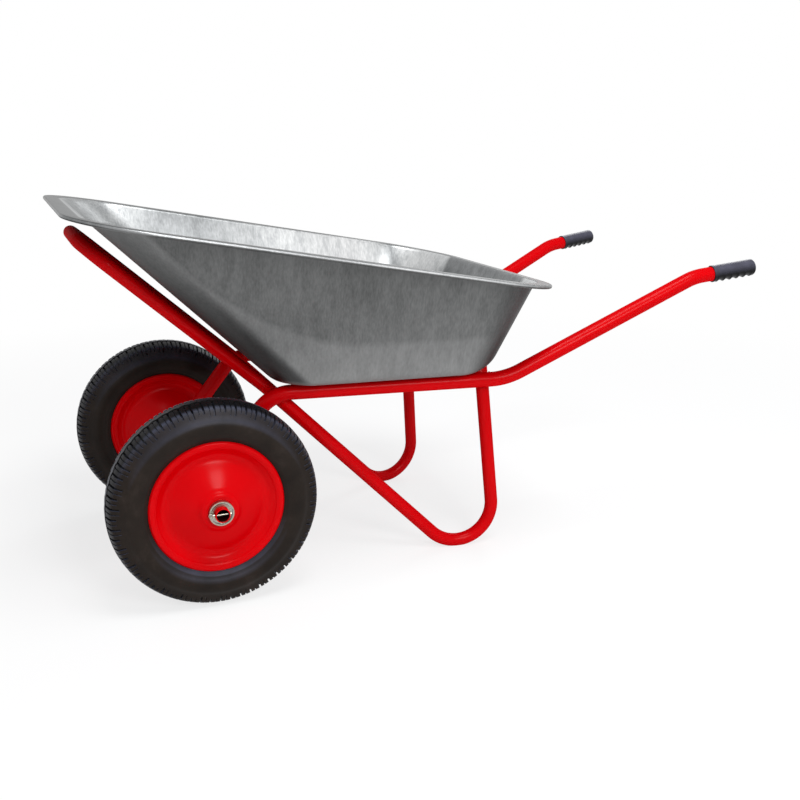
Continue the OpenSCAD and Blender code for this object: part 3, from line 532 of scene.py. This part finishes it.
# The foot's bend is meant to touch the ground, with the leg and the diagonal as its tangents. As in the
# part's source, its half turn is right only for a diagonal of 45 degrees, so the feet are 2.9 mm too low
ground_h = (LEG_D / 2 - BED_Z) / math.cos(SPREAD)
foot_s = (FOOT_X + AXLE_X - leg_point(0, ground_h).x) / math.cos(TOE)
foot = Vector((foot_s, ground_h + FOOT_R))
leg_touch = foot + FOOT_R * Vector((math.cos(LEAN), math.sin(LEAN)))
diagonal_touch = foot - FOOT_R * Vector((math.sin(DIAGONAL), math.cos(DIAGONAL)))
foot_half_turn = (math.pi + LEAN - DIAGONAL) / 2
foot_corner = leg_touch + FOOT_R * math.tan(foot_half_turn) * Vector((math.sin(LEAN), -math.cos(LEAN)))
TOP_H, CROSS_H = HANDLE_D / 2 + LEG_OVER, LEG_D / 4
LEG_TOP = leg_point(leg_touch.x - (TOP_H - leg_touch.y) * math.tan(LEAN), TOP_H)
CROSSING = leg_point(diagonal_touch.x - (CROSS_H - diagonal_touch.y) / math.tan(DIAGONAL), CROSS_H)

# Places along X from the axle that follow the crossing and the leg's top
FRONT_BEND = CROSSING.x - AXLE_X + FRONT_BEND_LEAD
REAR_BEND = LEG_TOP.x - AXLE_X + REAR_BEND_LEAD
FLOOR_FRONT = CROSSING.x - AXLE_X + FLOOR_FRONT_LEAD
FLOOR_BACK = REAR_BEND - FLOOR_BACK_LEAD
WALL_FRONT, WALL_BACK = FLOOR_FRONT - FRONT_WALL_RUN, FLOOR_BACK + BACK_WALL_RUN
FLOOR_Z = BED_Z + HANDLE_D / 2 + COLLAR


def rim_height(x):
    """Height at which the tray's walls end."""
    return FLOOR_Z + TRAY_H - RIM_FALL * x


NOSE_X = WALL_FRONT + NOSE_SET
LEG_SIDE = [LEG_TOP, leg_point(foot_corner.x, foot_corner.y), CROSSING,
            at(NOSE_X, CROSSING.y, rim_height(NOSE_X) - NOSE_DROP)]


def handle_corners(side):
    """Corners of a handle tube's path, from the axle to the tip of the grip."""
    bend_x = REAR_BEND + SLOPE_RUN
    bend_z = BED_Z + SLOPE_RUN / math.cos(TOE) * math.tan(SLOPE)
    tip_x = bend_x + GRIP_RUN * math.cos(GRIP_SLOPE) * math.cos(TOE)
    tip_z = bend_z + GRIP_RUN * math.sin(GRIP_SLOPE)
    places = [(0, AXLE_Z), (FRONT_BEND, BED_Z), (REAR_BEND, BED_Z), (bend_x, bend_z), (tip_x, tip_z)]
    return [handle_point(side, x, z) for x, z in places]


def handle_tube(side, name):
    """Bent tube from its saddle on the axle to just short of the grip's tip."""
    saddle, short = 0.42 * AXLE_D, 6
    corners = handle_corners(side)
    corners[0] += (corners[1] - corners[0]).normalized() * saddle
    corners[-1] -= (corners[-1] - corners[-2]).normalized() * short
    stations = path_stations(corners, HANDLE_BENDS)
    points, faces = tube(stations, handle_out(side), lambda k: (HANDLE_D / 2, HANDLE_D / 2, 0))
    piece(name + "_tube", points, faces, "red_paint", "frame", [name])


def leg_loop_tube():
    """Bent tube of both legs, feet, diagonals and the nose bar, flattened at its two ends."""
    flat, steps = 30, 6
    thinner, broader = 0.5, 0.15
    corners = LEG_SIDE + [Vector((p.x, -p.y, p.z)) for p in reversed(LEG_SIDE)]
    stations = path_stations(corners, LEG_BENDS + LEG_BENDS[::-1])
    (top, along), (tail_top, tail_along) = stations[0], stations[-1]
    lead = [(top + along * flat * k / steps, along) for k in range(steps + 1)]
    tail = [(tail_top - tail_along * flat * k / steps, tail_along) for k in range(steps, -1, -1)]
    stations = lead + stations[1:-1] + tail
    last = len(stations) - 1

    def section(k):
        s = max(0.0, 1 - min(k, last - k) / steps)
        s = s * s * (3 - 2 * s)
        r = LEG_D / 2
        return r * (1 - thinner * s), r * (1 + broader * s), r * thinner * s

    points, faces = tube(stations, -BED_ALONG.cross(LEG_UP), section)
    piece("leg_loop_tube", points, faces, "red_paint", "frame", ["leg_loop"])


def weld_bead(line, r, closed=False):
    """Rope of weld metal along a line of points, which swells at each puddle and thins out at its ends."""
    swell, puddle, sides = 0.16, 2.1, 10
    tip, growth = 0.35, 0.4
    points, n = [], len(line)
    for k, p in enumerate(line):
        a = line[k - 1] if closed or k else p
        b = line[(k + 1) % n] if closed or k < n - 1 else p
        along = (b - a).normalized()
        x = along.orthogonal().normalized()
        y = along.cross(x)
        end = 1.0 if closed else min(1.0, tip + growth * min(k, n - 1 - k))
        size = r * end * (1 + swell * math.sin(k * puddle))
        points += [p + size * (math.cos(t) * x + math.sin(t) * y) for t in turns(sides)]
    faces = rings_to_faces(n, sides, wrap=closed)
    if not closed:
        faces += end_caps(points, sides)
    return points, turned(faces)


def frame_welds():
    """Beads where the leg loop crosses the handle tubes, at the leg tops and on the axle."""
    bead, cross_bead = 2.3, 2.0
    cross_r, cross_drop, cross_steps = 7, 3, 36
    edge_out, edge_in, edge_len, edge_steps = 13.6, 3, 18, 11
    saddle_r, saddle_half, saddle_steps = 13.4, 78, 21
    strut_in, strut_gap, strut_r = 1.5, 0.5, 13
    beads = []
    for side, _ in SIDES:
        out = handle_out(side)
        along = Vector((math.cos(TOE), side * math.sin(TOE), 0))
        flip = Vector((1, -side, 1))
        crossing, top = CROSSING * flip, LEG_TOP * flip
        # At the crossing the bead runs round the touching place, between the two tubes
        touch = crossing + out * (LEG_D / 2)
        ring = [touch + along * cross_r * math.cos(t) + UP * (cross_r * math.sin(t) - cross_drop)
                for t in turns(cross_steps)]
        beads.append(weld_bead(ring, cross_bead, True))
        # At the leg's top one bead runs along each edge of its flattened end
        for edge in (-1, 1):
            start = top + along * edge * edge_out + out * (LEG_D / 2 - edge_in)
            line = [start - UP * (LEG_OVER + edge_in + edge_len * k / edge_steps)
                    for k in range(edge_steps + 1)]
            beads.append(weld_bead(line, bead))
        # Round the axle, one bead on each side of the strut
        saddle, bend = handle_corners(side)[:2]
        strut = (bend - saddle).normalized()
        lean = math.atan2(strut.x, strut.z)
        for edge in (-1, 1):
            arc = []
            for k in range(saddle_steps + 1):
                t = lean + math.radians(-saddle_half + 2 * saddle_half * k / saddle_steps)
                beside = HANDLE_D / 2 / math.cos(TOE) - strut_in * math.cos(t - lean) + strut_gap
                toed = strut_r * math.cos(t - lean) * math.sin(lean) * math.tan(TOE)
                y = side * HALF_W + edge * beside + side * toed
                arc.append(at(saddle_r * math.sin(t), y, AXLE_Z + saddle_r * math.cos(t)))
            beads.append(weld_bead(arc, bead))
    points, faces = join(beads)
    piece("frame_welds", points, faces, "red_paint", "frame")


for side, hand in SIDES:
    handle_tube(side, "handle_" + hand)
leg_loop_tube()
frame_welds()


# Grips


def grip_sleeve(side, name):
    """Moulded sleeve with five finger hollows below, a lip at its mouth and a domed end."""
    length, mouth_r, body_r = 92, 14.1, 15.7
    lip, lip_len = 0.5, 3
    dome, dome_more = 7, 0.6
    first, pitch, count = 7.5, 14.6, 5
    ridge, hollow, spread = 1.3, 2.9, 1.6
    sides, rows = 48, 138
    corners = handle_corners(side)
    along = (corners[4] - corners[3]).normalized()
    up = (UP - along * along.z).normalized()
    across = along.cross(up)
    mouth = corners[4] - along * length

    def ring(t, body, fingers=0.0):
        return [mouth + along * t + (body + fingers * max(0.0, -math.sin(a)) ** spread)
                * (math.cos(a) * across + math.sin(a) * up) for a in turns(sides)]

    points = ring(0, mouth_r)
    for k in range(rows + 1):
        t = length * k / rows
        past = max(0.0, t - length + dome) / (dome + dome_more)
        body = body_r * math.sqrt(1 - past ** 2) + (lip if t < lip_len else 0)
        # Each hollow is a round arc, so that sharp edges stand between the fingers
        place = (t - first) / pitch
        fingers = ridge - hollow * (1 - (2 * (place % 1) - 1) ** 2) if 0 <= place <= count else 0.0
        points += ring(t, body, fingers)
    faces = rings_to_faces(rows + 2, sides) + end_caps(points, sides)[1:]
    piece(name + "_sleeve", points, turned(faces), "grip", "frame", [name], sharp=40)


for side, hand in SIDES:
    grip_sleeve(side, "grip_" + hand)


# Tray


def tray_level(front, back, front_w, back_w, front_r, back_r):
    """Outline of the tray at one level, with rounded corners, counter-clockwise from above."""
    arc, side_steps = 18, (10, 8)
    corners = [Vector(p) for p in ((front, -front_w), (back, -back_w), (back, back_w), (front, front_w))]
    arcs = []
    for i, (p, r) in enumerate(zip(corners, (front_r, back_r, back_r, front_r))):
        u = (corners[i - 1] - p).normalized()
        v = (corners[(i + 1) % 4] - p).normalized()
        half = math.acos(u.dot(v)) / 2
        middle = p + (u + v).normalized() * r / math.sin(half)
        first = p + u * r / math.tan(half) - middle
        start, sweep = math.atan2(first.y, first.x), math.pi - 2 * half
        angles = [start + sweep * k / arc for k in range(arc + 1)]
        arcs.append([middle + r * Vector((math.cos(t), math.sin(t))) for t in angles])
    line = []
    for i in range(4):
        a, b = arcs[i][-1], arcs[(i + 1) % 4][0]
        steps = side_steps[i % 2]
        line += arcs[i] + [a + (b - a) * k / steps for k in range(1, steps)]
    return line


def outward(line, i):
    """Outward direction of a closed outline at one of its points."""
    t = (line[(i + 1) % len(line)] - line[i - 1]).normalized()
    return Vector((t.y, -t.x))


def tray_shell():
    """Pressed tray: floor, flared walls, flange and rolled edge, as a sheet with its real thickness."""
    sheet, flange, roll = 1.0, 33, 4.5
    front_margin, back_margin, flare = 50, 42, 42
    # Radii of the corners at the floor and at the rim, front and back
    floor_radii, rim_radii = (64, 78), (105, 120)
    # Rounding of the floor's bend at the sides, and what the front, the back and the corners add to it
    side_r, end_more, corner_more = 44, 56, 100
    # Reach of the bend into the flange, and what the front adds to it
    flange_bend, front_more = 8, 6
    # The flat of the floor reaches this far in from its bend, and ends a hair before it
    lap, hair = 2, 1.0001
    floor_steps, flange_steps, wall_shares = 12, 6, (0.35, 0.6, 0.85)
    # Degrees between the points round the rolled edge, and points of a rib on the flange and on the roll
    roll_step, on_flange, on_roll = 17.5, 4, 16
    front_w, back_w = handle_y(FLOOR_FRONT) + front_margin, handle_y(FLOOR_BACK) + back_margin
    floor = tray_level(FLOOR_FRONT, FLOOR_BACK, front_w, back_w, *floor_radii)
    wall = tray_level(WALL_FRONT, WALL_BACK, back_w + flare, back_w + flare, *rim_radii)
    up = Vector((RIM_FALL, 0, 1)).normalized()
    ribs = []
    for i, (f, w) in enumerate(zip(floor, wall)):
        o, q = outward(floor, i), outward(wall, i)
        e1 = Vector((o.x, o.y, 0))
        out = Vector((q.x, q.y, -RIM_FALL * q.x)).normalized()
        b = at(f.x, f.y, FLOOR_Z)
        t = at(w.x, w.y, rim_height(w.x))
        rise = (t - b).normalized()
        reach = side_r + end_more * o.x ** 2 + corner_more * (o.x * o.y) ** 2
        reach *= math.tan(e1.angle(rise) / 2)
        c = t + out * (flange - roll) + up * (sheet - roll)
        line = [b - e1 * (reach + lap), b - e1 * reach * hair]
        line += rounded([b - e1 * reach, b, t], [0, reach, 0], floor_steps)[1:-1]
        line += [b + (t - b) * s for s in wall_shares]
        bend = flange_bend + front_more * max(0.0, -q.x)
        line += rounded([b, t, c + up * roll - up * sheet], [0, bend, 0], flange_steps)[1:-1]
        angles = [math.radians(90 - roll_step * k) for k in range(on_roll + 1)]
        line += [c + (roll - sheet) * (math.cos(a) * out + math.sin(a) * up) for a in angles]
        ribs.append(line)
    m = len(ribs[0])
    points = [p for rib in ribs for p in rib]
    faces = []
    for i in range(len(ribs)):
        a, b = i * m, (i + 1) % len(ribs) * m
        faces += [(a + k, a + k + 1, b + k + 1, b + k) for k in range(m - 1)]
    faces.append(tuple(i * m for i in range(len(ribs) - 1, -1, -1)))
    thing = piece("tray_shell", points, faces, "galvanised", "frame", ["tray"], sharp=70)
    edge = [0.0] * (m - on_flange - on_roll) + [0.5] * on_flange + [1.0] * on_roll
    mark(thing, "edge", edge * len(ribs))
    thickness = thing.modifiers.new("sheet", "SOLIDIFY")
    thickness.thickness = sheet * MM
    thickness.offset = -1


def tray_bolts():
    """Low domed bolts through the tray's floor."""
    inset, segments = 72, 36
    profile = rounded([(0.01, -15.5), (3, -15.5), (3, 2.5), (7, 2.5), (7, 3.4), (5, 5.2), (0.01, 5.8)],
                      [0, 0.6, 0, 0.3, 0.8, 2.2, 0], 4)
    parts = []
    for x in (FLOOR_FRONT + inset, FLOOR_BACK - inset):
        for side, _ in SIDES:
            hole = handle_point(side, x, FLOOR_Z)
            points, faces = lathe(profile, Vector(), segments)
            parts.append(([hole + Vector((p.x, -p.z, p.y)) for p in points], faces))
    points, faces = join(parts)
    piece("tray_bolt_set", points, faces, "zinc", "frame", ["tray_bolts"])


tray_shell()
tray_bolts()


# Wheels


def wheel_centre(side):
    """Middle of a wheel."""
    return at(0, side * TRACK / 2, AXLE_Z)


def wheel_rim(side, name):
    """Barrel with a rounded flange on both sides and a drop well."""
    outer = [(114.5, 31.2), (112.4, 33.2), (109.6, 33.2), (103.6, 31.6), (101.5, 30), (101.5, 15),
             (89.5, 11)]
    inner = [(115, 31.4), (112.6, 34.6), (108.6, 34.8), (102, 33), (99.5, 29.2), (99.5, 16), (87.5, 12)]
    outer = rounded(outer, [0, 1.2, 1.2, 1.4, 1.4, 3, 0], 4)
    inner = rounded(inner, [0, 1.6, 2, 3, 3, 3, 0], 4)
    profile = outer + [(r, -y) for r, y in reversed(outer)] + [(r, -y) for r, y in inner] + inner[::-1]
    points, faces = lathe(profile, wheel_centre(side))
    piece(name + "_barrel", points, faces, "red_paint", name.replace("rim", "wheel"), [name], sharp=50)


def wheel_disc(side, face, name, body):
    """Dished disc with a step under the barrel and a raised boss round the hub."""
    outside = [(104.4, 33.9), (97.8, 28.6), (90, 23), (80, 24.4), (60, 36.2), (37, 46.4), (29.4, 54),
               (21.1, 54)]
    inside = [(21.1, 52), (28.4, 52), (36, 44.4), (59.2, 34.2), (79.4, 22.4), (90.6, 21), (98.6, 26.8),
              (104.6, 33.5)]
    line = rounded(outside, [0, 5, 6, 7, 14, 9, 5, 0], 6) + rounded(inside, [0, 5, 9, 14, 7, 6, 5, 0], 6)
    points, faces = lathe([(r, y * face) for r, y in line], wheel_centre(side))
    piece(name + "_dish", points, turned(faces) if face > 0 else faces, "red_paint", body, [name], sharp=50)


def tyre_rows():
    """Half section of the tyre from the crown out: radius, distance, slot depth, groove depth and zigzag."""
    rows = [
        (180, 0), (179.8, 5.6, 0, 0, 1), (179.7, 6.4, 0, 4.5, 1), (179.4, 9.8, 0, 4.5, 1),
        (179.2, 10.6, 4.8, 0, 1), (178.2, 16, 5), (175.9, 24, 5), (173.6, 29.4, 5), (171.6, 31.8, 4.6),
        (169.4, 32.9, 4.2), (166.4, 33.9, 3.6), (165.4, 34.2, 3.4), (161.6, 35.3, 2.8), (160.4, 35.7),
        (157, 36.8), (153, 38.9), (150.5, 40.4), (147, 41.6), (141, 42.2), (134.5, 41.8), (128.5, 39.8),
        (124, 37.2), (122.6, 37.1), (121, 36.0), (119.8, 34.6), (117.6, 33.4), (114.7, 30.9), (101.7, 30.9),
        (101.7, 22), (114.5, 22), (132.7, 37), (148.7, 37), (164, 27),
    ]
    return [(row + (0, 0, 0))[:5] for row in rows]


def tyre_cover(side, name):
    """Pneumatic tyre: zigzag grooves on the crown, long and short slots on the shoulder, plain sides."""
    # Every second slot ends at short_slot_r, and what lies beyond crown_r rolls on the ground
    blocks, swing, short_slot_r, crown_r, bore_r = 60, 1.6, 166, 175, 169
    # The two shoulders are a quarter of a block apart
    stagger = 0.25
    # Share of a block's pitch and of the slot's depth: a shallow slot splits each block
    columns = [(0.0, 0), (0.18, 0), (0.36, 0), (0.39, 0.4), (0.46, 0.4), (0.49, 0), (0.64, 0), (0.79, 0),
               (0.82, 1), (0.97, 1)]
    half = tyre_rows()
    rows = half + [(bore_r, 0, 0, 0, 0)] + [(r, -y, s, g, z) for r, y, s, g, z in reversed(half[1:])]
    n = len(rows)
    normals = []
    for i in range(n):
        a, b = rows[i - 1], rows[(i + 1) % n]
        t = Vector((b[0] - a[0], b[1] - a[1])).normalized()
        normals.append(Vector((t.y, -t.x)))
    centre = wheel_centre(side)
    points = []
    for k in range(blocks):
        for share, slotted in columns:
            for (r, y, slot, groove, zigzag), normal in zip(rows, normals):
                deep = (slot if k % 2 or r > short_slot_r else 0) * slotted + groove
                rr = r - normal.x * deep
                yy = y - normal.y * deep + zigzag * swing * (1 - 4 * abs(share - 0.5))
                t = 2 * math.pi * (k + share + (stagger if y < 0 else 0)) / blocks
                points.append(centre + Vector((rr * math.sin(t), yy, rr * math.cos(t))))
    faces = rings_to_faces(blocks * len(columns), n, wrap=True)
    thing = piece(name + "_cover", points, faces, "tyre", name.replace("tyre", "wheel"), [name], sharp=32)
    mark(thing, "crown", [float(r > crown_r) for r, *_ in rows] * (blocks * len(columns)))


def valve_cap(side, name):
    """Ribbed cap screwed on the valve."""
    ribs, sides = 12, 72
    # Place along the valve, radius and height of the ribs
    levels = ((-7, 4.1, 0), (-7, 4.8, 0.25), (3, 4.8, 0.25), (5.6, 4.4, 0.1), (7, 3.2, 0), (7, 0.05, 0))
    low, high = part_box(name)
    middle = (low + high) / 2 / MM
    points = []
    for along, r, rib in levels:
        for a in turns(sides):
            reach = r + rib * math.cos(ribs * a)
            points.append(middle + Vector((reach * math.cos(a), -side * along, reach * math.sin(a))))
    faces = rings_to_faces(len(levels), sides)
    body = name.replace("valve_cap", "wheel")
    piece(name + "_ribbed", points, turned(faces) if side > 0 else faces, "grip", body, [name])


def axle_tube():
    """Axle tube with eased ends, painted outside and unpainted inside, where its dark scale also stands in as
    painted shade.
    """
    inner_ease, outer_ease, segments = 0.4, 0.5, 48
    low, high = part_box("axle")
    half = (high.y - low.y) / 2 / MM
    outer, inner = AXLE_D / 2, AXLE_D / 2 - AXLE_WALL
    end = [(outer, half - outer_ease), (outer - outer_ease, half), (inner + inner_ease, half),
           (inner, half - inner_ease)]
    profile = [(r, -y) for r, y in reversed(end)] + end
    points, faces = lathe(profile, at(0, 0, AXLE_Z), segments)
    thing = piece("axle_tube", points, faces, "red_paint", "frame", ["axle"])
    # The bore is marked for its dark scale and painted shade
    mark(thing, "bare_and_shaded", [float(r == inner) for r, y in profile] * segments)


axle_tube()
for side, hand in SIDES:
    wheel_rim(side, "rim_" + hand)
    wheel_disc(side, side, "disc_outer_" + hand, "wheel_" + hand)
    wheel_disc(side, -side, "disc_inner_" + hand, "wheel_" + hand)
    tyre_cover(side, "tyre_" + hand)
    valve_cap(side, "valve_cap_" + hand)


# Every CAD piece takes the finish of its slot

slot_of = {entry["node"]: entry["material_slot"] for entry in frame["record"]["subparts"]}
for name, thing in frame["nodes"].items():
    for holder in thing.material_slots:
        holder.material = FINISH[slot_of[name]]


# Stage


def seen_white(tree):
    """Node that gives 1 for rays from the camera, from mirrors and through glass, and 0 for others."""
    path = add(tree, "LightPath").outputs
    direct = add(tree, "Math", links={0: path["Is Camera Ray"], 1: path["Is Glossy Ray"]},
                 operation="MAXIMUM")
    return add(tree, "Math", links={0: direct, 1: path["Is Transmission Ray"]}, operation="MAXIMUM")


def studio():
    """Pale floor, white surroundings and soft lamps."""
    size = 14
    mesh = bpy.data.meshes.new("floor")
    corners = [(-size, -size, 0), (size, -size, 0), (size, size, 0), (-size, size, 0)]
    mesh.from_pydata(corners, [], [(0, 1, 2, 3)])
    floor = bpy.data.objects.new("floor", mesh)
    bpy.context.scene.collection.objects.link(floor)
    material, tree, place = new_material("pale_floor")
    # Near the barrow the floor keeps its shadow, and from 2.4 m on it runs into the white background
    away = add(tree, "VectorMath", links={0: place}, operation="LENGTH").outputs["Value"]
    fade = add(tree, "MapRange", {"From Min": 0.9, "From Max": 2.4, "To Min": 0.74}, {"Value": away})
    white = add(tree, "Math", links={0: seen_white(tree), 1: fade}, operation="MULTIPLY")
    matt = add(tree, "BsdfDiffuse", {"Color": linear("#f4f4f4")})
    glow = add(tree, "Emission", {"Color": linear("#ffffff"), "Strength": 1.0})
    mix = add(tree, "MixShader", links={0: white, 1: matt, 2: glow})
    add(tree, "OutputMaterial", links={"Surface": mix})
    mesh.materials.append(material)

    world = bpy.data.worlds.new("studio")
    bpy.context.scene.world = world
    world.use_nodes = True
    tree = world.node_tree
    tree.nodes.clear()
    soft = add(tree, "Background", {"Color": linear("#f4f6fa"), "Strength": 0.5})
    back = add(tree, "Background", {"Color": linear("#ffffff"), "Strength": 1.0})
    mix = add(tree, "MixShader", links={0: seen_white(tree), 1: soft, 2: back})
    add(tree, "OutputWorld", links={"Surface": mix})

    aim = Vector((0, 0, 0.3))
    for name, place, width, watts in (
        ("overhead", (0.0, -1.0, 3.2), 1.3, 60),
        ("front", (0.15, -3.0, 1.8), 1.0, 44),
        ("back_right", (2.2, 2.4, 2.4), 1.4, 24),
    ):
        lamp = bpy.data.lights.new(name, "AREA")
        lamp.size = width
        lamp.energy = watts
        holder = bpy.data.objects.new(name, lamp)
        holder.location = place
        holder.rotation_euler = (aim - Vector(place)).to_track_quat("-Z", "Y").to_euler()
        bpy.context.scene.collection.objects.link(holder)


studio()

# The camera stands where the photo's did, as fitted from the wheels, the grips and the tray's corners
camera = bpy.data.cameras.new("camera")
camera.sensor_width = 36
camera.lens = 45.1
viewer = bpy.data.objects.new("camera", camera)
viewer.location = at(-311.5, -1844.9, 805.2) * MM
viewer.rotation_euler = (math.radians(74.37), 0, math.radians(-22.26))
bpy.context.scene.collection.objects.link(viewer)
bpy.context.scene.camera = viewer
bpy.context.scene.view_settings.view_transform = "Standard"
